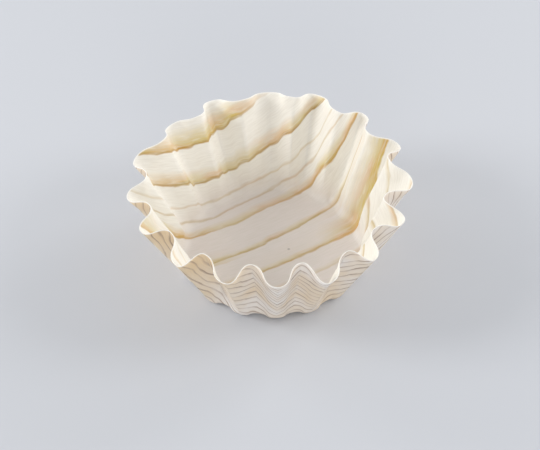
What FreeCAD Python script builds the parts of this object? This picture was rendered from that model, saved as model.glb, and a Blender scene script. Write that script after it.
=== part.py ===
"""A fluted paper food cup: one pressed disc of paper with a round floor, a soft heel and sixteen flutes.

Millimetres, +Z up. The floor's underside lies on Z = 0 and the cup's box is centred on the origin.
The back of the cup is at +Y. Ridges and valleys are counted from there, counter-clockwise seen from above.
"""

import FreeCAD, Part
import math
import os

Vector = FreeCAD.Vector
UP = Vector(0, 0, 1)
BACK = 90.0

# The driving sizes, in millimetres, counts and shares.
SIZES = {
    "flute_count": 16,
    "rim_ridge_reach": 95.0,
    "rim_valley_reach": 81.5,
    "floor_reach": 62.5,
    "floor_wave": 0.8,
    "wall_slant": 71.5,
    "paper_thickness": 0.5,
    "heel_bend": 6.0,
    "valley_hollow": 3.0,
    "crest_fullness": 0.45,
    "floor_follows": 0.5,
}

# How finely the curved paper is cut into flat strips.
STRIPS = {
    "strips_per_flute": 14,
    "heel_bands": 3,
    "wall_bands": 5,
}

# Each flute has set a little differently. Turn is degrees off the even pitch. Reach is millimetres off
# the rim's size.
RIDGE_TURN = (0, 3.5, 4.5, 3.5, 2.5, 1, 3.5, 3, 1.5, -1, -1.5, 0, -0.5, -0.5, 1.5, 3.5)
RIDGE_REACH = (-3, 1, -3, 3, 2, 0, -0.5, -1.5, -2, 1, 1, -0.5, 0, 0.5, -0.5, 1.5)
VALLEY_TURN = (3, 1.5, 1, 5, 3, 0.5, -0.5, 0.5, 2, 2, -2, -3.5, 2.5, -0.5, -3, -1)
VALLEY_REACH = (2.5, 1, 4, 3, 1.5, -1, -2, -3.5, -3, 0.5, 0, -4.5, 0.5, -1, 0, 4)
UNEVEN = {
    "ridge_turn": RIDGE_TURN,
    "ridge_reach": RIDGE_REACH,
    "valley_turn": VALLEY_TURN,
    "valley_reach": VALLEY_REACH,
}


def fill_sheet(sheet):
    """Writes every driving size as plain text in column B, with its name beside it and as its alias."""
    cells = dict(SIZES)
    cells.update(STRIPS)
    for name, values in UNEVEN.items():
        for number, value in enumerate(values, start=1):
            cells[f"{name}_{number:02d}"] = value
    for row, (alias, value) in enumerate(cells.items(), start=1):
        sheet.set(f"A{row}", alias)
        sheet.set(f"B{row}", str(value))
        sheet.setAlias(f"B{row}", alias)


def crests(sheet):
    """Every ridge and valley in turn, as its direction and reach at the rim and at the floor."""
    found = []
    pitch = 360.0 / sheet.flute_count
    floor_valley_reach = sheet.floor_reach - sheet.floor_wave
    kinds = (
        ("ridge", 0.0, sheet.rim_ridge_reach, sheet.floor_reach, len(RIDGE_TURN)),
        ("valley", 0.5, sheet.rim_valley_reach, floor_valley_reach, len(VALLEY_TURN)),
    )
    for flute in range(int(sheet.flute_count)):
        for kind, share, rim_reach, floor_reach, known in kinds:
            number = flute % known + 1
            even = BACK + pitch * (flute + share)
            turn = sheet.get(f"{kind}_turn_{number:02d}")
            reach = rim_reach + sheet.get(f"{kind}_reach_{number:02d}")
            found.append((even + turn, reach, even + sheet.floor_follows * turn, floor_reach))
    return found


def wave(start, end, share, fullness):
    """A point on the smooth wave from one crest, given as direction and reach, to the next."""
    lead = share + fullness * math.sin(2 * math.pi * share) / (2 * math.pi)
    angle = math.radians(start[0] + (end[0] - start[0]) * lead)
    middle = (start[1] + end[1]) / 2
    swing = (start[1] - end[1]) / 2
    reach = middle + swing * math.cos(math.pi * share)
    return Vector(reach * math.cos(angle), reach * math.sin(angle), 0)


def outlines(sheet):
    """The floor's and the rim's outlines seen from above, as matching rings of points. With them comes how
    far each point lies on the way from a ridge, 0, to a valley, 1."""
    found = crests(sheet)
    steps = int(sheet.strips_per_flute) // 2
    floor = []
    rim = []
    dips = []
    for number, crest in enumerate(found):
        after = list(found[(number + 1) % len(found)])
        if number == len(found) - 1:
            after[0] += 360.0
            after[2] += 360.0
        for step in range(steps):
            share = step / steps
            rim.append(wave(crest[:2], after[:2], share, sheet.crest_fullness))
            floor.append(wave(crest[2:], after[2:], share, sheet.crest_fullness))
            from_ridge = share if number % 2 == 0 else 1 - share
            dips.append((1 - math.cos(math.pi * from_ridge)) / 2)
    return floor, rim, dips


def raise_rim(rim, floor, slant):
    """Lifts each rim point, so that the paper from floor to rim is one slant long all round."""
    for top, corner in zip(rim, floor):
        out = math.hypot(top.x - corner.x, top.y - corner.y)
        top.z = math.sqrt(slant**2 - out**2)


def outward(ring):
    """The level direction square to a ring at each of its points."""
    found = []
    for number in range(len(ring)):
        along = ring[(number + 1) % len(ring)] - ring[number - 1]
        square = Vector(along.y, -along.x, 0)
        square.normalize()
        found.append(square)
    return found


def bend(corner, inward, wall, radius, bands):
    """The heel's arc, from the floor, which runs inward from the corner, to the wall, which runs up."""
    half = inward.getAngle(wall) / 2
    middle = inward + wall
    middle.normalize()
    centre = corner + middle * (radius / math.sin(half))
    reach = radius / math.tan(half)
    start = corner + inward * reach - centre
    end = corner + wall * reach - centre
    start.normalize()
    end.normalize()
    turn = start.getAngle(end)
    across = end - start * end.dot(start)
    across.normalize()
    points = []
    for band in range(bands + 1):
        angle = turn * band / bands
        points.append(centre + start * (radius * math.cos(angle)) + across * (radius * math.sin(angle)))
    return points


def hollow_share(share):
    """How deep the valleys' hollow is at this share of the wall. It is 1 at a third of the way up."""
    return 27 / 4 * share * (1 - share) ** 2


def paper_face(floor, rim, dips, depth, heel, sheet):
    """One face of the paper, as rings from the floor's edge over the heel to the rim. Depth is how far it
    lies inside the cup's outer face."""
    heel_bands = int(sheet.heel_bands)
    wall_bands = int(sheet.wall_bands)
    rings = [[] for _ in range(heel_bands + wall_bands + 1)]
    for low, high, level, lip, dip in zip(floor, rim, outward(floor), outward(rim), dips):
        wall = high - low
        lean = math.atan2(wall.dot(level), wall.z)
        corner = low - level * (depth * (1 / math.cos(lean) - math.tan(lean))) + UP * depth
        lip_lean = math.atan2(wall.dot(lip), wall.z)
        edge = high - (lip * math.cos(lip_lean) - UP * math.sin(lip_lean)) * depth
        hollow = level * (-sheet.valley_hollow * dip)
        up_wall = edge - corner + hollow * (27 / 4)
        up_wall.normalize()
        heel_points = bend(corner, level * -1, up_wall, heel, heel_bands)
        for number, point in enumerate(heel_points):
            rings[number].append(point)
        foot = heel_points[-1]
        for band in range(1, wall_bands + 1):
            share = band / wall_bands
            rings[heel_bands + band].append(foot + (edge - foot) * share + hollow * hollow_share(share))
    return rings


def facet(*corners):
    """A flat face with these corners."""
    return Part.Face(Part.makePolygon(list(corners) + [corners[0]]))


def strip(lower, upper):
    """The flat triangles between two matching rings."""
    faces = []
    for number in range(len(lower)):
        after = (number + 1) % len(lower)
        faces.append(facet(lower[number], lower[after], upper[after]))
        faces.append(facet(lower[number], upper[after], upper[number]))
    return faces


def cup_shape(sheet):
    """The whole sheet as one closed solid: both faces of the floor and the wall, and the cut edge."""
    floor, rim, dips = outlines(sheet)
    raise_rim(rim, floor, sheet.wall_slant)
    thickness = sheet.paper_thickness
    outer = paper_face(floor, rim, dips, 0.0, sheet.heel_bend + thickness, sheet)
    inner = paper_face(floor, rim, dips, thickness, sheet.heel_bend, sheet)
    faces = [facet(*outer[0]), facet(*inner[0])]
    for rings in (outer, inner):
        for lower, upper in zip(rings, rings[1:]):
            faces += strip(lower, upper)
    faces += strip(outer[-1], inner[-1])
    shell = Part.makeShell(faces)
    shell.sewShape()
    solid = Part.makeSolid(shell)
    if solid.Volume < 0:
        solid.reverse()
    return solid


def add_cup(document, sheet):
    """The cup as an object of the document, placed so that its box is centred on the origin."""
    cup = document.addObject("Part::Feature", "fluted_cup")
    cup.Label = "fluted_cup"
    cup.Shape = cup_shape(sheet)
    box = cup.Shape.BoundBox
    cup.Placement = FreeCAD.Placement(Vector(-box.Center.x, -box.Center.y, -box.ZMin), FreeCAD.Rotation())
    return cup


def check(document, parts):
    """Stops the build if any object failed or any sub-part isn't a sound solid."""
    for item in document.Objects:
        for state in ("Invalid", "Error"):
            if state in item.State:
                raise RuntimeError(f"{item.Label} is {state}")
    for item in parts:
        if item.Shape.isNull() or not item.Shape.isValid():
            raise RuntimeError(f"{item.Label} has no sound shape")


def main():
    document = FreeCAD.newDocument("fluted_cup_part")
    sheet = document.addObject("Spreadsheet::Sheet", "sizes")
    fill_sheet(sheet)
    document.recompute()
    parts = [add_cup(document, sheet)]
    document.recompute()
    check(document, parts)
    os.makedirs("parts", exist_ok=True)
    for item in parts:
        item.Shape.exportStep(f"parts/{item.Label}.step")
        box = item.Shape.BoundBox
        print(item.Label, "volume", round(item.Shape.Volume), "faces", len(item.Shape.Faces))
        print("box", [round(value, 2) for value in (box.XLength, box.YLength, box.ZLength)])
        print("centre", round(box.Center.x, 4), round(box.Center.y, 4), "floor at", round(box.ZMin, 6))


main()
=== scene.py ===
# %% [markdown]
# A fluted paper food cup. The real one is a single disc of laminated paper, printed with wood grain on both
# sides and pressed between heated dies, which fold its wall into sixteen flutes. The construction model holds
# its size and form in flat strips. Here it is made again as one fine, smooth sheet, with sharper creases than
# the strips have and a printed finish.

# %% Load the construction model
import math

import bpy
import numpy as np
from mathutils import Matrix, Vector


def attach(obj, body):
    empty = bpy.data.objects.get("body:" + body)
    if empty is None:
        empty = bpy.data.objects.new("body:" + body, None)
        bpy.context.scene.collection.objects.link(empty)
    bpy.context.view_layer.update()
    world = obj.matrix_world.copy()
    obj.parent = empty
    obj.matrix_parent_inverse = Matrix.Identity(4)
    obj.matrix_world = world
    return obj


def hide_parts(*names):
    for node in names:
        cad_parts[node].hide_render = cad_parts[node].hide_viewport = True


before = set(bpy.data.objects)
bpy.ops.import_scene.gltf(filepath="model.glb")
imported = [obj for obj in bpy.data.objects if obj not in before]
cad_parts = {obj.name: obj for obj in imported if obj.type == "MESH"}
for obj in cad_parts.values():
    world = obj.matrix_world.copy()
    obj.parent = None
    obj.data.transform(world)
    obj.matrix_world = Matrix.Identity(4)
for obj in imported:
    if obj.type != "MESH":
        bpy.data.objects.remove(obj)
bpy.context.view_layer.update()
MM = 0.001

# %% [markdown]
# The cup could be sculpted or simulated, but a pressed sheet follows its dies, so its form is a formula: a
# wavy outline for the floor, a wavier one for the rim, and paper between them that is straight at the ridges
# and a little hollow at the valleys. These are the sizes of the construction model, in millimetres. No two
# flutes of a real cup set alike, so each ridge and valley has its own small turn, in degrees, and its own
# reach.

# %% The cup's sizes
FLUTES = 16
RIM_RIDGE_REACH = 95.0
RIM_VALLEY_REACH = 81.5
FLOOR_REACH = 62.5
FLOOR_WAVE = 0.8
WALL_SLANT = 71.5
PAPER = 0.5
HEEL_BEND = 6.0
VALLEY_HOLLOW = 3.0
CREST_FULLNESS = 0.45
FLOOR_FOLLOWS = 0.5
BACK = 90.0
RIDGE_TURN = (0, 3.5, 4.5, 3.5, 2.5, 1, 3.5, 3, 1.5, -1, -1.5, 0, -0.5, -0.5, 1.5, 3.5)
RIDGE_REACH = (-3, 1, -3, 3, 2, 0, -0.5, -1.5, -2, 1, 1, -0.5, 0, 0.5, -0.5, 1.5)
VALLEY_TURN = (3, 1.5, 1, 5, 3, 0.5, -0.5, 0.5, 2, 2, -2, -3.5, 2.5, -0.5, -3, -1)
VALLEY_REACH = (2.5, 1, 4, 3, 1.5, -1, -2, -3.5, -3, 0.5, 0, -4.5, 0.5, -1, 0, 4)
PITCH = 360.0 / FLUTES
print(FLUTES, "flutes, one each", PITCH, "degrees")

# %% [markdown]
# Between one crest and the next the outline swings along half a cosine. Fullness holds it back near each
# crest, which makes the crests broad and the flanks between them steep. A curve drawn through points would do
# as well, but a formula has only the numbers that matter.

# %% The outlines of the floor and the rim
STEPS_PER_HALF_FLUTE = 14


def swing(start, end, share):
    """The point at this share of the way from one crest, given as direction and reach, to the next."""
    lead = share + CREST_FULLNESS * math.sin(2 * math.pi * share) / (2 * math.pi)
    angle = math.radians(start[0] + (end[0] - start[0]) * lead)
    reach = (start[1] + end[1]) / 2 + (start[1] - end[1]) / 2 * math.cos(math.pi * share)
    return reach * math.cos(angle), reach * math.sin(angle), 0.0


def crests():
    """Ridge and valley in turn: direction and reach at the rim, then direction and reach at the floor."""
    found = []
    for flute in range(FLUTES):
        even = BACK + PITCH * flute
        turn = RIDGE_TURN[flute]
        found.append((even + turn, RIM_RIDGE_REACH + RIDGE_REACH[flute],
                      even + FLOOR_FOLLOWS * turn, FLOOR_REACH))
        even += PITCH / 2
        turn = VALLEY_TURN[flute]
        found.append((even + turn, RIM_VALLEY_REACH + VALLEY_REACH[flute],
                      even + FLOOR_FOLLOWS * turn, FLOOR_REACH - FLOOR_WAVE))
    first = found[0]
    found.append((first[0] + 360.0, first[1], first[2] + 360.0, first[3]))
    return found


def outlines():
    """The floor's and the rim's outlines, and how far each point lies from a ridge, 0, toward a valley, 1."""
    floor = []
    rim = []
    dips = []
    found = crests()
    for number, (start, end) in enumerate(zip(found, found[1:])):
        for step in range(STEPS_PER_HALF_FLUTE):
            share = step / STEPS_PER_HALF_FLUTE
            rim.append(swing(start[:2], end[:2], share))
            floor.append(swing(start[2:], end[2:], share))
            from_ridge = share if number % 2 == 0 else 1 - share
            dips.append((1 - math.cos(math.pi * from_ridge)) / 2)
    floor = np.array(floor)
    rim = np.array(rim)
    # The slant from the floor's corner to the rim is the same all round, because the sheet is one round disc.
    out = np.hypot(rim[:, 0] - floor[:, 0], rim[:, 1] - floor[:, 1])
    rim[:, 2] = np.sqrt(WALL_SLANT**2 - out**2)
    return floor, rim, np.array(dips)


floor_line, rim_line, dips = outlines()
COLUMNS = len(rim_line)
print(COLUMNS, "columns round the cup")
print("rim height, mm: from", round(rim_line[:, 2].min(), 1), "to", round(rim_line[:, 2].max(), 1))

# %% [markdown]
# Each face of the paper is a stack of rings: the flat floor, the heel's arc and the wall. The inner face lies
# one paper thickness inside the outer one, measured square to the paper, so that the sheet is as thick on a
# flank as on a crest. A solidify modifier could do this too, but here the heel keeps a true arc on both
# faces. The ridges run straight up, but the valleys stand almost upright above the heel and lean out only
# near the rim, which keeps the flutes deep far down the wall.

# %% Rings of one face of the paper
FLOOR_BANDS = 10
HEEL_BANDS = 10
WALL_BANDS = 26
UP = np.array((0.0, 0.0, 1.0))
# The hollow follows share * (1 - share)**2, whose peak is 4/27, a third of the way up the wall. This number
# makes that peak 1, and it is also how steeply the hollow starts.
HOLLOW_START = 27 / 4


def unit(vectors):
    return vectors / np.linalg.norm(vectors, axis=-1, keepdims=True)


def dot(a, b):
    return (a * b).sum(-1, keepdims=True)


def outward(ring):
    """The level direction square to a ring at each of its points."""
    along = np.roll(ring, -1, axis=0) - np.roll(ring, 1, axis=0)
    return unit(np.stack((along[:, 1], -along[:, 0], np.zeros(len(ring))), axis=1))


def hollow_share(share):
    """How deep the valleys' hollow is at this share of the wall."""
    return HOLLOW_START * share * (1 - share) ** 2


def paper_face(depth, heel):
    """The rings of the face that lies this deep inside the outer one, with a heel of this radius."""
    level = outward(floor_line)
    lip = outward(rim_line)
    wall = rim_line - floor_line
    lean = np.arctan2(dot(wall, level), wall[:, 2:])
    corner = floor_line - level * (depth * (1 / np.cos(lean) - np.tan(lean))) + UP * depth
    lip_lean = np.arctan2(dot(wall, lip), wall[:, 2:])
    edge = rim_line - (lip * np.cos(lip_lean) - UP * np.sin(lip_lean)) * depth
    hollow = level * (-VALLEY_HOLLOW * dips)[:, None]
    up_wall = unit(edge - corner + hollow * HOLLOW_START)
    half = np.arccos(dot(-level, up_wall)) / 2
    centre = corner + unit(up_wall - level) * (heel / np.sin(half))
    start = unit(corner - level * (heel / np.tan(half)) - centre)
    end = unit(corner + up_wall * (heel / np.tan(half)) - centre)
    turn = np.arccos(dot(start, end))
    across = unit(end - start * dot(start, end))
    rings = []
    foot = centre + start * heel
    for band in range(1, FLOOR_BANDS + 1):
        share = band / FLOOR_BANDS
        rings.append(foot * (share, share, 1.0))
    for band in range(1, HEEL_BANDS + 1):
        angle = turn * band / HEEL_BANDS
        rings.append(centre + (start * np.cos(angle) + across * np.sin(angle)) * heel)
    foot = rings[-1]
    for band in range(1, WALL_BANDS + 1):
        share = band / WALL_BANDS
        rings.append(foot + (edge - foot) * share + hollow * hollow_share(share))
    return np.array(rings)


outer_face = paper_face(0.0, HEEL_BEND + PAPER)
inner_face = paper_face(PAPER, HEEL_BEND)
print(len(outer_face), "rings on each face")

# %% [markdown]
# Print sits on the flat sheet before it is pressed, so every point of the cup needs to know where it lay on
# that disc. Its distance from the middle is the run over the paper. Its direction comes from its share of
# the way round its own ring: a flank uses up more sheet than its angle tells, as gathered paper does. That is
# what makes the printed bands step from flute to flute. These flat places are in millimetres.

# %% Where each point lay on the flat sheet


def flat_places(rings):
    """Each point's place on the flat sheet, and its run over the paper from the middle."""
    steps = np.linalg.norm(np.diff(rings, axis=0), axis=2)
    run = np.hypot(rings[0, :, 0], rings[0, :, 1]) + np.vstack((np.zeros(COLUMNS), np.cumsum(steps, axis=0)))
    places = []
    for ring, reach in zip(rings, run):
        seen = np.unwrap(np.arctan2(ring[:, 1], ring[:, 0]))
        edges = np.linalg.norm(np.roll(ring, -1, axis=0) - ring, axis=1)
        share = np.concatenate(((0.0,), np.cumsum(edges)[:-1])) / edges.sum()
        angle = share * 2 * math.pi
        angle += (seen - angle).mean()
        places.append(np.stack((reach * np.cos(angle), reach * np.sin(angle)), axis=1))
    return np.array(places), run


outer_flat, outer_run = flat_places(outer_face)
inner_flat, inner_run = flat_places(inner_face)
print("flat disc across, mm:", round(2 * float(outer_run[-1].mean()), 1))

# %% [markdown]
# The die folds the wall, so between the rim and the heel each flank is nearly flat and each crest is a
# crease. Near the rim the paper springs back into a rounder wave. Creases could be marked on the mesh and
# sharpened by subdivision. Here each ring is drawn toward straight flanks between its own crests instead, by
# less than three millimetres, so that it can fade out toward the rim and the floor.

# %% Crease the flutes
# How straight a flank is, from 0, the plain wave, to 1, and the millimetres of paper, counted from the rim
# and from the floor's reach, over which the creasing comes in.
CREASE = 0.94
CREASE_FROM_RIM = (1.0, 15.0)
CREASE_FROM_FLOOR = (2.0, 10.0)


def ease(values, low, high):
    """From 0 at low to 1 at high, with a soft start and end."""
    share = np.clip((values - low) / (high - low), 0.0, 1.0)
    return share * share * (3 - 2 * share)


def crease_offsets(rings, run):
    """How far each point moves along its own direction from the axis, to lie on straight flanks."""
    reach = np.hypot(rings[:, :, 0], rings[:, :, 1])
    turn = np.unwrap(np.arctan2(rings[:, :, 1], rings[:, :, 0]), axis=1)
    reach_round = np.concatenate((reach, reach[:, :1]), axis=1)
    turn_round = np.concatenate((turn, turn[:, :1] + 2 * math.pi), axis=1)
    offsets = np.zeros_like(reach)
    for first in range(0, COLUMNS, STEPS_PER_HALF_FLUTE):
        last = first + STEPS_PER_HALF_FLUTE
        here = slice(first, last)
        share = (turn[:, here] - turn[:, first:first + 1]) / (turn_round[:, last] - turn[:, first])[:, None]
        straight = 1 - 2 * share
        profile = CREASE * straight + (1 - CREASE) * np.cos(math.pi * share)
        middle = (reach[:, first] + reach_round[:, last])[:, None] / 2
        swing_here = (reach[:, first] - reach_round[:, last])[:, None] / 2
        offsets[:, here] = middle + swing_here * profile - reach[:, here]
    return offsets * ease(run[-1] - run, *CREASE_FROM_RIM) * ease(run - FLOOR_REACH, *CREASE_FROM_FLOOR)


def creased(rings):
    """These rings, moved by the creases of the outer face."""
    stretch = 1 + creases / np.hypot(rings[:, :, 0], rings[:, :, 1])
    return rings * np.stack((stretch, stretch, np.ones_like(stretch)), axis=2)


creases = crease_offsets(outer_face, outer_run)
inner_face = creased(inner_face)
outer_face = creased(outer_face)
print("creasing moves the wall by up to", round(float(np.abs(creases).max()), 2), "mm")

# %% [markdown]
# Pressed paper is never quite true. A few slow, shallow swells of a tenth of a millimetre keep the light from
# running over the wall as if it were metal. A noise could move the points too, but a few sine waves are as
# smooth as paper that was bent. They fade out at the rim and on the floor, which stands flat.

# %% Slow swells in the wall
SWELL = 0.22
# Each wave's count round the cup, its count for each millimetre up the paper, and where it starts.
SWELL_WAVES = ((5, 0.021, 0.4), (9, 0.033, 1.9), (23, 0.046, 3.1), (37, 0.028, 5.2))


def swells(rings, run):
    """How far each point of the wall lies off the formula, along its own outward direction."""
    turn = np.arctan2(rings[:, :, 1], rings[:, :, 0])
    height = np.clip((run - FLOOR_REACH) / WALL_SLANT, 0.0, 1.0)
    lift = sum(np.sin(count * turn + rate * 2 * math.pi * run + phase) for count, rate, phase in SWELL_WAVES)
    return SWELL * lift / len(SWELL_WAVES) * height * (1.0 - height**4)


def swollen(rings):
    """These rings, moved by the swells of the outer face, so that both faces swell alike."""
    level = np.array([outward(ring) for ring in rings])
    return rings + level * swells(outer_face, outer_run)[:, :, None]


outer_face = swollen(outer_face)
inner_face = swollen(inner_face)
print("swell, mm: up to", round(float(np.abs(swells(outer_face, outer_run)).max()), 2))

# %% [markdown]
# The two faces meet at the cut edge. A punched paper edge is square with barely broken corners, so it gets a
# narrow bevel on each side. All rings together make one closed skin, floor to floor over the rim. It is then
# placed as the construction model is: its box centred on the origin, and its floor's underside at zero.

# %% One closed skin
EDGE_BREAK = 0.1


def drop(ring, below, depth):
    """A ring pulled down its wall by depth."""
    return ring + unit(below - ring) * depth


outer_lip = drop(outer_face[-1], outer_face[-2], EDGE_BREAK)
inner_lip = drop(inner_face[-1], inner_face[-2], EDGE_BREAK)
across_edge = unit(inner_face[-1] - outer_face[-1])
outer_top = outer_face[-1] + across_edge * EDGE_BREAK
inner_top = inner_face[-1] - across_edge * EDGE_BREAK
skin = np.concatenate((outer_face[:-1], (outer_lip, outer_top, inner_top, inner_lip), inner_face[-2::-1]))
skin_flat = np.concatenate((outer_flat, outer_flat[-1:], inner_flat[-1:], inner_flat[::-1]))
outer_below = outer_run[-1] - outer_run
inner_below = inner_run[-1] - inner_run
below_edge = np.concatenate((outer_below, np.zeros((2, COLUMNS)), inner_below[::-1]))
box_low = skin.reshape(-1, 3).min(0)
box_high = skin.reshape(-1, 3).max(0)
shift = np.array((-(box_low[0] + box_high[0]) / 2, -(box_low[1] + box_high[1]) / 2, -box_low[2]))
print("box, mm:", np.round(box_high - box_low, 1))

# %% [markdown]
# A picture of wood could be wrapped on the cup. Two plain coordinates in the mesh do more: with them every
# band is set in millimetres of sheet. They are the flat places, turned into the grain's own directions, along
# the grain and across it. Inside, the grain runs up to the right at about thirty degrees and bends a little.
# Outside, it lies in long arcs, as on a board whose heart lies some way off, in front of the cup.

# %% The grain's own directions
INSIDE_GRAIN_TURN = 31.0
# The place along the grain where the bend turns round, the bend for each squared millimetre along, and how
# much of that is lost with each millimetre across.
INSIDE_BEND_PLACE = 25.0
INSIDE_BEND = 0.0013
INSIDE_BEND_LOSS = 0.000006
OUTSIDE_HEART = (55.0, -300.0)


def inside_grain(places):
    turn = math.radians(INSIDE_GRAIN_TURN)
    along = places[..., 0] * math.cos(turn) + places[..., 1] * math.sin(turn)
    across = places[..., 1] * math.cos(turn) - places[..., 0] * math.sin(turn)
    bend = INSIDE_BEND - INSIDE_BEND_LOSS * across
    return along, across - bend * (along - INSIDE_BEND_PLACE) ** 2


def outside_grain(places):
    x = places[..., 0] - OUTSIDE_HEART[0]
    y = places[..., 1] - OUTSIDE_HEART[1]
    ring = np.hypot(x, y)
    return np.arctan2(x, y) * ring.mean(), ring


for title, grain in (("inside", inside_grain), ("outside", outside_grain)):
    across = grain(skin_flat)[1]
    print(title, "grain, mm across: from", round(across.min()), "to", round(across.max()))

# %% [markdown]
# The skin becomes a mesh of quads, closed by a fan at the middle of each floor. Made straight from the rings,
# it keeps every point where the formula puts it. Each face knows which finish it shows: the print inside, the
# print outside or the bare cut edge.

# %% The cup's mesh
# The finishes' numbers, in the order in which they are put on the cup.
INSIDE_PRINT = 0
OUTSIDE_PRINT = 1
CUT_EDGE = 2


def skin_faces(outer_hub, inner_hub):
    """Each face's corners and the number of its finish. The hubs are the points at the floors' middles."""
    faces = []
    finish = []
    edge_start = len(outer_face) - 1
    inside_start = len(outer_face) + 2
    for ring in range(len(skin) - 1):
        kind = OUTSIDE_PRINT if ring < edge_start else CUT_EDGE if ring < inside_start else INSIDE_PRINT
        low = ring * COLUMNS
        for column in range(COLUMNS):
            after = (column + 1) % COLUMNS
            faces.append((low + column, low + after, low + COLUMNS + after, low + COLUMNS + column))
            finish.append(kind)
    last = (len(skin) - 1) * COLUMNS
    for column in range(COLUMNS):
        after = (column + 1) % COLUMNS
        faces.append((after, column, outer_hub))
        finish.append(OUTSIDE_PRINT)
        faces.append((last + column, last + after, inner_hub))
        finish.append(INSIDE_PRINT)
    return faces, finish


def cup_mesh(name):
    points = (skin.reshape(-1, 3) + shift) * MM
    hubs = [(shift + UP * height) * MM for height in (0.0, PAPER)]
    faces, finish = skin_faces(len(points), len(points) + 1)
    mesh = bpy.data.meshes.new(name)
    mesh.from_pydata([tuple(point) for point in points] + [tuple(hub) for hub in hubs], [], faces)
    mesh.polygons.foreach_set("use_smooth", [True] * len(faces))
    mesh.polygons.foreach_set("material_index", finish)
    places = np.concatenate((skin_flat.reshape(-1, 2), np.zeros((2, 2))))
    below = np.concatenate((below_edge.reshape(-1), below_edge[0, :1], below_edge[0, :1]))
    for title, grain in (("inside_grain", inside_grain), ("outside_grain", outside_grain)):
        made = mesh.attributes.new(title, "FLOAT_VECTOR", "POINT")
        coordinates = np.stack((*grain(places), below), axis=1)
        made.data.foreach_set("vector", coordinates.astype(np.float32).ravel())
    mesh.validate()
    return mesh


cup = bpy.data.objects.new("printed_cup", cup_mesh("printed_cup"))
bpy.context.scene.collection.objects.link(cup)
print("cup:", len(cup.data.vertices), "points,", len(cup.data.polygons), "faces")

# %% [markdown]
# The finishes come next. Colours are written as the sRGB hex values that a paint chart would give, and one
# function turns them to the linear values that the renderer works in. One small helper adds a node, sets it
# up and links it, so that each finish reads as a recipe.

# %% Colour and node helpers


def linear(hex_colour):
    """A hex sRGB colour as linear red, green, blue and alpha."""
    found = []
    for start in (1, 3, 5):
        value = int(hex_colour[start:start + 2], 16) / 255
        found.append(value / 12.92 if value <= 0.04045 else ((value + 0.055) / 1.055) ** 2.4)
    return (*found, 1.0)


def add(tree, kind, inputs=None, output=0, **settings):
    """Adds a node with these settings, feeds its inputs with values or other sockets, and gives an output."""
    made = tree.nodes.new(kind)
    for name, value in settings.items():
        setattr(made, name, value)
    for socket, value in (inputs or {}).items():
        if isinstance(value, bpy.types.NodeSocket):
            tree.links.new(value, made.inputs[socket])
        else:
            made.inputs[socket].default_value = value
    return made.outputs[output] if output is not None else made


def new_finish(name):
    made = bpy.data.materials.new(name)
    made.use_nodes = True
    made.node_tree.nodes.clear()
    return made, made.node_tree


print("a cream as linear:", [round(value, 3) for value in linear("#F6F3EB")[:3]])

# %% [markdown]
# Wood never runs true, and printed wood doesn't either. Two recipes serve both prints: patches of uneven ink,
# drawn out along the grain, and a grain that wanders to and fro. Both take real sizes, in millimetres.

# %% Uneven ink and wandering grain


def uneven_ink(tree, place, long, wide, detail):
    """A value that changes in patches as long along the grain and as wide across it as given, in mm."""
    spot = add(tree, "ShaderNodeVectorMath", {0: place, 1: (1 / long, 1 / wide, 0.0)}, operation="MULTIPLY")
    return add(tree, "ShaderNodeTexNoise", {"Vector": spot, "Scale": 1.0, "Detail": detail},
               noise_dimensions="2D")


def wandering_grain(tree, place, across, wanders):
    """The place across the grain, moved by each wander in turn. A wander is long, wide and shifts, in mm."""
    for long, wide, shift_mm in wanders:
        noise = uneven_ink(tree, place, long, wide, 1.0)
        centred = add(tree, "ShaderNodeMath", {0: noise, 1: 0.5}, operation="SUBTRACT")
        across = add(tree, "ShaderNodeMath", {0: centred, 1: shift_mm, 2: across}, operation="MULTIPLY_ADD")
    return across


INSIDE_WANDERS = ((80.0, 40.0, 5.0), (22.0, 14.0, 3.6), (7.0, 5.0, 1.3))
OUTSIDE_WANDERS = ((70.0, 30.0, 9.0), (22.0, 9.0, 2.4), (7.0, 4.0, 0.7))
for title, wanders in (("inside", INSIDE_WANDERS), ("outside", OUTSIDE_WANDERS)):
    print(title, "grain wanders by up to", round(sum(wander[2] for wander in wanders) / 2, 1), "mm each way")

# %% [markdown]
# Both prints lie under a thin matt film, laminated on before the disc is punched. It gives only a faint
# sheen and the slightest tooth. At the cut edge it has sprung back a little, and the white paper shows. The
# tooth of a real film is far too fine to show, so it is drawn almost a millimetre wide.

# %% The film over the print
BARE_PAPER = "#FBF8F2"
# How far below the cut edge the bare paper starts to fade and ends, in mm, and how much of it shows above.
BARE_FADE = (0.2, 0.9)
BARE_SHARE = 0.8
FILM_TOOTH = 5 / 6
FILM_TOOTH_HEIGHT = 0.03
FILM_ROUGHNESS = (0.5, 0.62)
PLASTIC_IOR = 1.5


def laminate(tree, place, colour, below):
    """Bare paper at the cut edge, the film's surface over the rest, and the finished shader."""
    bare = add(tree, "ShaderNodeMapRange",
               {0: below, 1: BARE_FADE[0], 2: BARE_FADE[1], 3: BARE_SHARE, 4: 0.0})
    colour = add(tree, "ShaderNodeMix", {0: bare, 6: colour, 7: linear(BARE_PAPER)}, output=2,
                 data_type="RGBA")
    tooth = add(tree, "ShaderNodeTexNoise", {"Vector": place, "Scale": 1 / FILM_TOOTH, "Detail": 3.0},
                noise_dimensions="2D")
    bump = add(tree, "ShaderNodeBump", {"Strength": 0.2, "Distance": FILM_TOOTH_HEIGHT * MM, "Height": tooth})
    rough = add(tree, "ShaderNodeMapRange",
                {0: tooth, 1: 0.3, 2: 0.7, 3: FILM_ROUGHNESS[0], 4: FILM_ROUGHNESS[1]})
    shader = add(tree, "ShaderNodeBsdfPrincipled",
                 {"Base Color": colour, "Roughness": rough, "IOR": PLASTIC_IOR, "Normal": bump})
    add(tree, "ShaderNodeOutputMaterial", {"Surface": shader}, output=None)


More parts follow.
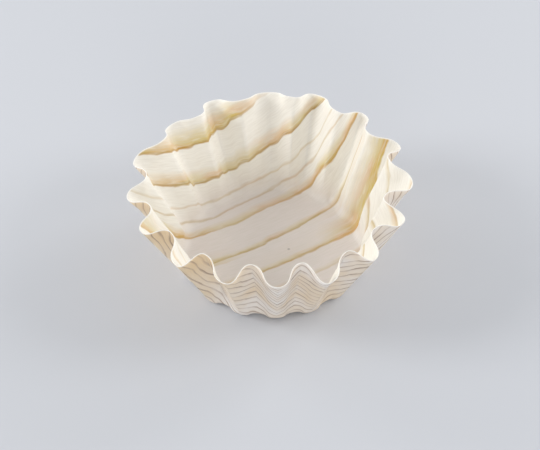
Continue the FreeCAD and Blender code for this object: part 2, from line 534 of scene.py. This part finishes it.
print("the film's tooth is drawn", round(FILM_TOOTH, 2), "mm wide")

# %% [markdown]
# The inside is wood grain printed in process inks on white laminated paper. A wave or ring texture would make
# all its bands alike, but here they are few and each differs, so each is one row of numbers. Some rows lie
# almost on one place: a narrow band that runs through, and a wide one that shows at one end only. Together
# they are a golden ring that broadens toward the wall.

# %% The bands of the inside print
# Place across the grain in mm, its climb in mm for each mm along, width in mm, then strength at the left, in
# the middle and at the right, then the strength of its dark edge.
INSIDE_BANDS = (
    (110.0, 0.08, 16.0, 0.9, 1.0, 0.15, 0.65),
    (79.5, 0.0, 11.0, 0.85, 0.85, 0.9, 0.8),
    (61.5, 0.0, 2.2, 0.25, 0.35, 0.3, 0.6),
    (49.5, 0.0, 2.0, 0.4, 0.35, 0.3, 0.9),
    (36.5, 0.0, 7.5, 1.0, 0.65, 1.0, 0.4),
    (9.5, 0.04, 5.0, 0.6, 0.75, 0.65, 0.6),
    (5.0, 0.0, 16.0, 0.6, 0.0, 0.1, 0.1),
    (-15.0, 0.0, 5.0, 0.4, 0.7, 0.25, 0.6),
    (-15.5, 0.0, 19.0, 0.0, 0.1, 1.0, 0.1),
    (-33.0, 0.0, 4.0, 0.3, 0.3, 0.6, 0.5),
    (-51.0, 0.0, 4.5, 0.4, 0.4, 0.45, 0.5),
    (-76.0, 0.0, 6.0, 0.6, 0.6, 0.6, 0.5),
    (-101.0, 0.0, 6.0, 0.6, 0.6, 0.6, 0.5),
)
# Where along the grain, in mm, a band passes from its middle strength to its strength at either end.
TO_LEFT_END = (-15.0, -55.0)
TO_RIGHT_END = (32.0, 58.0)
print(len(INSIDE_BANDS), "bands inside")

# %% [markdown]
# A printed growth ring has one crisp dark edge and fades out on its other side, from gold to cream. So one
# band is a short rise and a long fade across the grain, in yellow, with a narrow line of umber over its edge.

# %% One printed growth ring
UMBER = "#A57B37"
# The rise runs between these two places across the ring, in mm. The fade and the dark line start together.
RING_RISE = (-0.8, 0.4)
RING_FADE_START = 0.3
RING_LINE_END = 2.4


def growth_ring(tree, colour, yellow, streaks, along, across, ends, band):
    """The colour with this band printed over it. The ends say how near a place is to either end."""
    at_left, at_right = ends
    band_place, climb, width, left, middle, right, edge = band
    depth = add(tree, "ShaderNodeMath", {0: along, 1: -climb, 2: across}, operation="MULTIPLY_ADD")
    depth = add(tree, "ShaderNodeMath", {0: depth, 1: band_place}, operation="SUBTRACT")
    rise = add(tree, "ShaderNodeMapRange", {0: depth, 1: RING_RISE[0], 2: RING_RISE[1], 3: 0.0, 4: 1.0})
    fade = add(tree, "ShaderNodeMapRange", {0: depth, 1: RING_FADE_START, 2: width, 3: 1.0, 4: 0.0})
    strength = add(tree, "ShaderNodeMath", {0: at_left, 1: left - middle, 2: middle},
                   operation="MULTIPLY_ADD")
    strength = add(tree, "ShaderNodeMath", {0: at_right, 1: right - middle, 2: strength},
                   operation="MULTIPLY_ADD")
    strength = add(tree, "ShaderNodeMath", {0: strength, 1: streaks}, operation="MULTIPLY")
    gold = add(tree, "ShaderNodeMath", {0: rise, 1: fade}, operation="MULTIPLY")
    gold = add(tree, "ShaderNodeMath", {0: gold, 1: strength}, operation="MULTIPLY")
    colour = add(tree, "ShaderNodeMix", {0: gold, 6: colour, 7: yellow}, output=2, data_type="RGBA")
    line = add(tree, "ShaderNodeMapRange", {0: depth, 1: RING_FADE_START, 2: RING_LINE_END, 3: 1.0, 4: 0.0})
    line = add(tree, "ShaderNodeMath", {0: line, 1: rise}, operation="MULTIPLY")
    line = add(tree, "ShaderNodeMath", {0: line, 1: strength}, operation="MULTIPLY")
    line = add(tree, "ShaderNodeMath", {0: line, 1: edge}, operation="MULTIPLY")
    return add(tree, "ShaderNodeMix", {0: line, 6: colour, 7: linear(UMBER)}, output=2, data_type="RGBA")


print("a ring's dark edge is", round(RING_LINE_END - RING_RISE[0], 1), "mm wide")

# %% [markdown]
# Now the whole inside print, from the paper up: cream wood, greyed a little by painted shade over the middle
# of the sheet, where the cup's floor and heel lie, then the rings, the fibre and one pin knot. The ink lies
# unevenly, so the rings break into streaks, and their yellow turns from gold to olive in patches, more so
# toward the left. Real wood fibre is a few hundredths of a millimetre wide, far too fine to show. It is drawn
# 0.9 mm wide and 12 mm long.

# %% Wood grain printed on the inside
CREAM = "#F6F3EB"
GOLD = "#D7A23C"
OLIVE = "#D0B54C"
SHADE = "#DCD6CB"
# Painted shade: a greyer, pinker cream laid over the cup's floor and heel, where the wall keeps light off.
PAINTED_FLOOR_SHADE = "#EAE2DE"
KNOT_INK = "#8F8983"
STREAK = (14.0, 2.5)
OLIVE_PATCH = (34.0, 14.0)
OLIVE_AT_LEFT = 0.35
FIBRE = (12.0, 0.9)
# The painted floor shade fades out between these distances from the sheet's middle, and the knot from its
# own, in mm.
PAINTED_FLOOR_SHADE_FADE = (52.0, 78.0)
PIN_KNOT = (10.1, -4.4)
PIN_KNOT_FADE = (0.5, 1.2)


def printed_inside():
    made, tree = new_finish("wood_grain_print_on_film_laminated_paper")
    place = add(tree, "ShaderNodeAttribute", output="Vector", attribute_name="inside_grain")
    along, across, below = add(tree, "ShaderNodeSeparateXYZ", {0: place}, output=None).outputs
    across = wandering_grain(tree, place, across, INSIDE_WANDERS)
    ends = [add(tree, "ShaderNodeMapRange", {0: along, 1: start, 2: end, 3: 0.0, 4: 1.0})
            for start, end in (TO_LEFT_END, TO_RIGHT_END)]
    streaks = uneven_ink(tree, place, *STREAK, 2.0)
    streaks = add(tree, "ShaderNodeMapRange", {0: streaks, 1: 0.3, 2: 0.5, 3: 0.65, 4: 1.0})
    olive = uneven_ink(tree, place, *OLIVE_PATCH, 1.0)
    olive = add(tree, "ShaderNodeMapRange", {0: olive, 1: 0.36, 2: 0.56, 3: 0.0, 4: 1.0})
    more = add(tree, "ShaderNodeMath", {0: ends[0], 1: OLIVE_AT_LEFT}, operation="MULTIPLY")
    olive = add(tree, "ShaderNodeMath", {0: olive, 1: more}, operation="MAXIMUM")
    yellow = add(tree, "ShaderNodeMix", {0: olive, 6: linear(GOLD), 7: linear(OLIVE)}, output=2,
                 data_type="RGBA")
    # The place's third number is the distance below the edge, so it is left out before measuring.
    flat_place = add(tree, "ShaderNodeVectorMath", {0: place, 1: (1.0, 1.0, 0.0)}, operation="MULTIPLY")
    from_middle = add(tree, "ShaderNodeVectorMath", {0: flat_place}, output="Value", operation="LENGTH")
    # Painted shade over the cup's floor, fading out up the heel and the foot of the wall.
    painted_floor_shade = add(tree, "ShaderNodeMapRange",
                {0: from_middle, 1: PAINTED_FLOOR_SHADE_FADE[0], 2: PAINTED_FLOOR_SHADE_FADE[1], 3: 1.0, 4: 0.0})
    colour = add(tree, "ShaderNodeMix", {0: painted_floor_shade, 6: linear(CREAM), 7: linear(PAINTED_FLOOR_SHADE)}, output=2,
                 data_type="RGBA")
    for band in INSIDE_BANDS:
        colour = growth_ring(tree, colour, yellow, streaks, along, across, ends, band)
    fibre = uneven_ink(tree, place, *FIBRE, 2.0)
    fibre = add(tree, "ShaderNodeMapRange", {0: fibre, 1: 0.35, 2: 0.75, 3: 0.0, 4: 0.35})
    colour = add(tree, "ShaderNodeMix", {0: fibre, 6: colour, 7: linear(SHADE)}, output=2, data_type="RGBA")
    knot = add(tree, "ShaderNodeVectorMath", {0: flat_place, 1: (*PIN_KNOT, 0.0)}, output="Value",
               operation="DISTANCE")
    knot = add(tree, "ShaderNodeMapRange",
               {0: knot, 1: PIN_KNOT_FADE[0], 2: PIN_KNOT_FADE[1], 3: 0.5, 4: 0.0})
    colour = add(tree, "ShaderNodeMix", {0: knot, 6: colour, 7: linear(KNOT_INK)}, output=2, data_type="RGBA")
    laminate(tree, place, colour, below)
    return made


inside_finish = printed_inside()
print("finish:", inside_finish.name, "with", len(inside_finish.node_tree.nodes), "nodes")

# %% [markdown]
# The outside carries a closer grain: thin brown lines between five and six millimetres apart on a warm white,
# with faint finer ones between them. Here the rings repeat, so a saw-tooth of the distance from the board's
# heart draws them all, and slow noises keep the spacing and the ink from being regular. Toward the left the
# ground turns to a warm tan.

# %% Wood grain printed on the outside
WARM_WHITE = "#F7F0E8"
TAN = "#EDD3A8"
BROWN = "#AC937F"
# Spacing in mm, the share of it over which a line fades, and how strong the line is in thin and in full ink.
OUTSIDE_LINES = ((5.6, 0.3, 0.3, 1.0), (1.9, 0.5, 0.0, 0.12))
LINE_START = 0.92
INK_PATCH = (24.0, 5.0)
TAN_PATCH = (60.0, 24.0)
TO_TAN = (-110.0, -180.0)


def printed_outside():
    made, tree = new_finish("close_grain_print_on_film_laminated_paper")
    place = add(tree, "ShaderNodeAttribute", output="Vector", attribute_name="outside_grain")
    along, across, below = add(tree, "ShaderNodeSeparateXYZ", {0: place}, output=None).outputs
    across = wandering_grain(tree, place, across, OUTSIDE_WANDERS)
    patches = uneven_ink(tree, place, *TAN_PATCH, 2.0)
    to_left = add(tree, "ShaderNodeMapRange", {0: along, 1: TO_TAN[0], 2: TO_TAN[1], 3: 0.0, 4: 0.85})
    warm = add(tree, "ShaderNodeMapRange", {0: patches, 1: 0.35, 2: 0.75, 3: 0.0, 4: 0.7})
    warm = add(tree, "ShaderNodeMath", {0: warm, 1: to_left}, operation="MAXIMUM")
    colour = add(tree, "ShaderNodeMix", {0: warm, 6: linear(WARM_WHITE), 7: linear(TAN)}, output=2,
                 data_type="RGBA")
    ink = uneven_ink(tree, place, *INK_PATCH, 2.0)
    for spacing, fade, thin, full in OUTSIDE_LINES:
        turns = add(tree, "ShaderNodeMath", {0: across, 1: spacing}, operation="DIVIDE")
        saw = add(tree, "ShaderNodeMath", {0: turns}, operation="FRACT")
        line = add(tree, "ShaderNodeMapRange", {0: saw, 1: 0.0, 2: fade, 3: 1.0, 4: 0.0},
                   interpolation_type="SMOOTHSTEP")
        edge = add(tree, "ShaderNodeMapRange", {0: saw, 1: LINE_START, 2: 1.0, 3: 0.0, 4: 1.0})
        line = add(tree, "ShaderNodeMath", {0: line, 1: edge}, operation="MAXIMUM")
        laid = add(tree, "ShaderNodeMapRange", {0: ink, 1: 0.3, 2: 0.7, 3: thin, 4: full})
        line = add(tree, "ShaderNodeMath", {0: line, 1: laid}, operation="MULTIPLY")
        colour = add(tree, "ShaderNodeMix", {0: line, 6: colour, 7: linear(BROWN)}, output=2,
                     data_type="RGBA")
    laminate(tree, place, colour, below)
    return made


outside_finish = printed_outside()
print("finish:", outside_finish.name, "with", len(outside_finish.node_tree.nodes), "nodes")

# %% [markdown]
# The cut edge is the paper's own core: bleached pulp, punched through, a little fuzzy and quite matt. It
# shows as a thin white line all round the rim. Real fuzz is too fine to show, so it is drawn a third of a
# millimetre wide.

# %% The cut edge
PULP = "#FCFAF5"
PULP_SHADE = "#EFEAE0"
FUZZ = 1 / 3
FUZZ_HEIGHT = 0.05
PULP_IOR = 1.5


def cut_edge():
    made, tree = new_finish("bleached_pulp_cut_edge")
    place = add(tree, "ShaderNodeAttribute", output="Vector", attribute_name="outside_grain")
    fuzz = add(tree, "ShaderNodeTexNoise", {"Vector": place, "Scale": 1 / FUZZ, "Detail": 2.0},
               noise_dimensions="2D")
    shade = add(tree, "ShaderNodeMapRange", {0: fuzz, 1: 0.3, 2: 0.7, 3: 0.0, 4: 1.0})
    colour = add(tree, "ShaderNodeMix", {0: shade, 6: linear(PULP), 7: linear(PULP_SHADE)}, output=2,
                 data_type="RGBA")
    bump = add(tree, "ShaderNodeBump", {"Strength": 0.4, "Distance": FUZZ_HEIGHT * MM, "Height": fuzz})
    shader = add(tree, "ShaderNodeBsdfPrincipled",
                 {"Base Color": colour, "Roughness": 0.9, "IOR": PULP_IOR, "Normal": bump})
    add(tree, "ShaderNodeOutputMaterial", {"Surface": shader}, output=None)
    return made


edge_finish = cut_edge()
print("finish:", edge_finish.name, "with", len(edge_finish.node_tree.nodes), "nodes")

# %% [markdown]
# The mesh's faces already carry the finishes' numbers, so the finishes are put on in that order. The cup then
# rides on the construction model's only body and stands in for its sheet of flat strips.

# %% Dress the cup
for made in (inside_finish, outside_finish, edge_finish):
    cup.data.materials.append(made)
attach(cup, "root")
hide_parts("fluted_cup")
print("the cup wears", len(cup.data.materials), "finishes")

# %% [markdown]
# The cup stands on a plain pale floor, painted matt. One flat square does for it. It is wide enough that its
# far edge comes into view only from very low down.

# %% Floor
FLOOR_SIZE = 8.0
FLOOR_PAINT = "#C9CCD2"


def plain_floor():
    half = FLOOR_SIZE / 2
    corners = [(-half, -half, 0), (half, -half, 0), (half, half, 0), (-half, half, 0)]
    mesh = bpy.data.meshes.new("floor")
    mesh.from_pydata(corners, [], [(0, 1, 2, 3)])
    made, tree = new_finish("matt_painted_floor")
    shader = add(tree, "ShaderNodeBsdfPrincipled",
                 {"Base Color": linear(FLOOR_PAINT), "Roughness": 0.85, "IOR": 1.45})
    add(tree, "ShaderNodeOutputMaterial", {"Surface": shader}, output=None)
    mesh.materials.append(made)
    floor = bpy.data.objects.new("floor", mesh)
    bpy.context.scene.collection.objects.link(floor)
    return floor


plain_floor()
print("floor:", FLOOR_SIZE, "m square")

# %% [markdown]
# Light is soft and comes mostly from the sides: an even white sky, a lamp to the left and one to the right,
# two lower ones behind and a weak one in front. So each flute has a bright and a dull flank, the floor of the
# cup stays dimmer than its wall, and a soft shadow lies round its foot. A strong front lamp would be
# simpler, but it flattens the flutes of the back wall.

# %% Light
WHITE = "#FFFFFF"
SKY_STRENGTH = 0.58
LAMP_DISTANCE = 1.6
LAMP_SIZE = 0.6
# Each lamp's direction seen from above, with 0 to the right and 90 behind the cup, its height, both in
# degrees, and its power in watts.
LAMPS = (
    ("left", 180, 30, 10.5),
    ("right", 0, 30, 7.5),
    ("back_left", 145, 20, 4.0),
    ("back_right", 35, 20, 6.5),
    ("front", -90, 20, 3.5),
)


def lamp_place(direction, height):
    """A lamp's place in metres, to the nearest millimetre."""
    turn = math.radians(direction)
    rise = math.radians(height)
    level = LAMP_DISTANCE * math.cos(rise)
    place = (level * math.cos(turn), level * math.sin(turn), LAMP_DISTANCE * math.sin(rise))
    return tuple(round(value, 3) for value in place)


def light_scene():
    world = bpy.data.worlds.new("even_sky")
    world.use_nodes = True
    tree = world.node_tree
    tree.nodes.clear()
    sky = add(tree, "ShaderNodeBackground", {"Color": linear(WHITE), "Strength": SKY_STRENGTH})
    add(tree, "ShaderNodeOutputWorld", {"Surface": sky}, output=None)
    bpy.context.scene.world = world
    for name, direction, height, power in LAMPS:
        lamp = bpy.data.lights.new(name, "AREA")
        lamp.shape = "DISK"
        lamp.size = LAMP_SIZE
        lamp.energy = power
        lamp.color = linear(WHITE)[:3]
        holder = bpy.data.objects.new(name, lamp)
        holder.location = lamp_place(direction, height)
        holder.rotation_euler = (-holder.location).to_track_quat("-Z", "Y").to_euler()
        bpy.context.scene.collection.objects.link(holder)
        print("lamp:", name, power, "W at", [round(value, 3) for value in holder.location])


light_scene()
bpy.context.scene.view_settings.view_transform = "Standard"

# %% [markdown]
# The camera stands well back with a long lens and looks down on the cup at 46.6 degrees. The photograph is
# tilted by 1.7 degrees, and the cup sits a little below its middle. The lens and the cup's place are measured
# in the photograph's own pixels, which keeps them easy to check against it.

# %% Camera
PHOTO_WIDTH = 540
ELEVATION = 46.62
ROLL = -1.70
DISTANCE = 1.5
FOCAL_PIXELS = 2172
SENSOR = 36.0
CUP_RIGHT_PIXELS = 3.18
CUP_DOWN_PIXELS = 26.76


def photo_camera():
    """A camera that is aimed a little above the cup and to its left, so that the cup sits low and right."""
    middle = Vector(tuple(shift * (MM, MM, 0)))
    rise = math.radians(ELEVATION)
    back = Vector((0, -math.cos(rise), math.sin(rise)))
    right = Vector((1, 0, 0))
    up = back.cross(right)
    roll = math.radians(ROLL)
    right, up = right * math.cos(roll) + up * math.sin(roll), up * math.cos(roll) - right * math.sin(roll)
    eye = middle + back * DISTANCE
    pixel = DISTANCE / FOCAL_PIXELS
    aim = middle + up * (CUP_DOWN_PIXELS * pixel) - right * (CUP_RIGHT_PIXELS * pixel)
    back = (eye - aim).normalized()
    right = (right - back * right.dot(back)).normalized()
    up = back.cross(right)
    camera = bpy.data.cameras.new("photo_camera")
    camera.sensor_width = SENSOR
    camera.lens = SENSOR * FOCAL_PIXELS / PHOTO_WIDTH
    holder = bpy.data.objects.new("photo_camera", camera)
    turned = Matrix((right, up, back)).transposed().to_4x4()
    turned.translation = eye
    holder.matrix_world = turned
    bpy.context.scene.collection.objects.link(holder)
    bpy.context.scene.camera = holder
    return holder


print("camera at", [round(value, 3) for value in photo_camera().location])
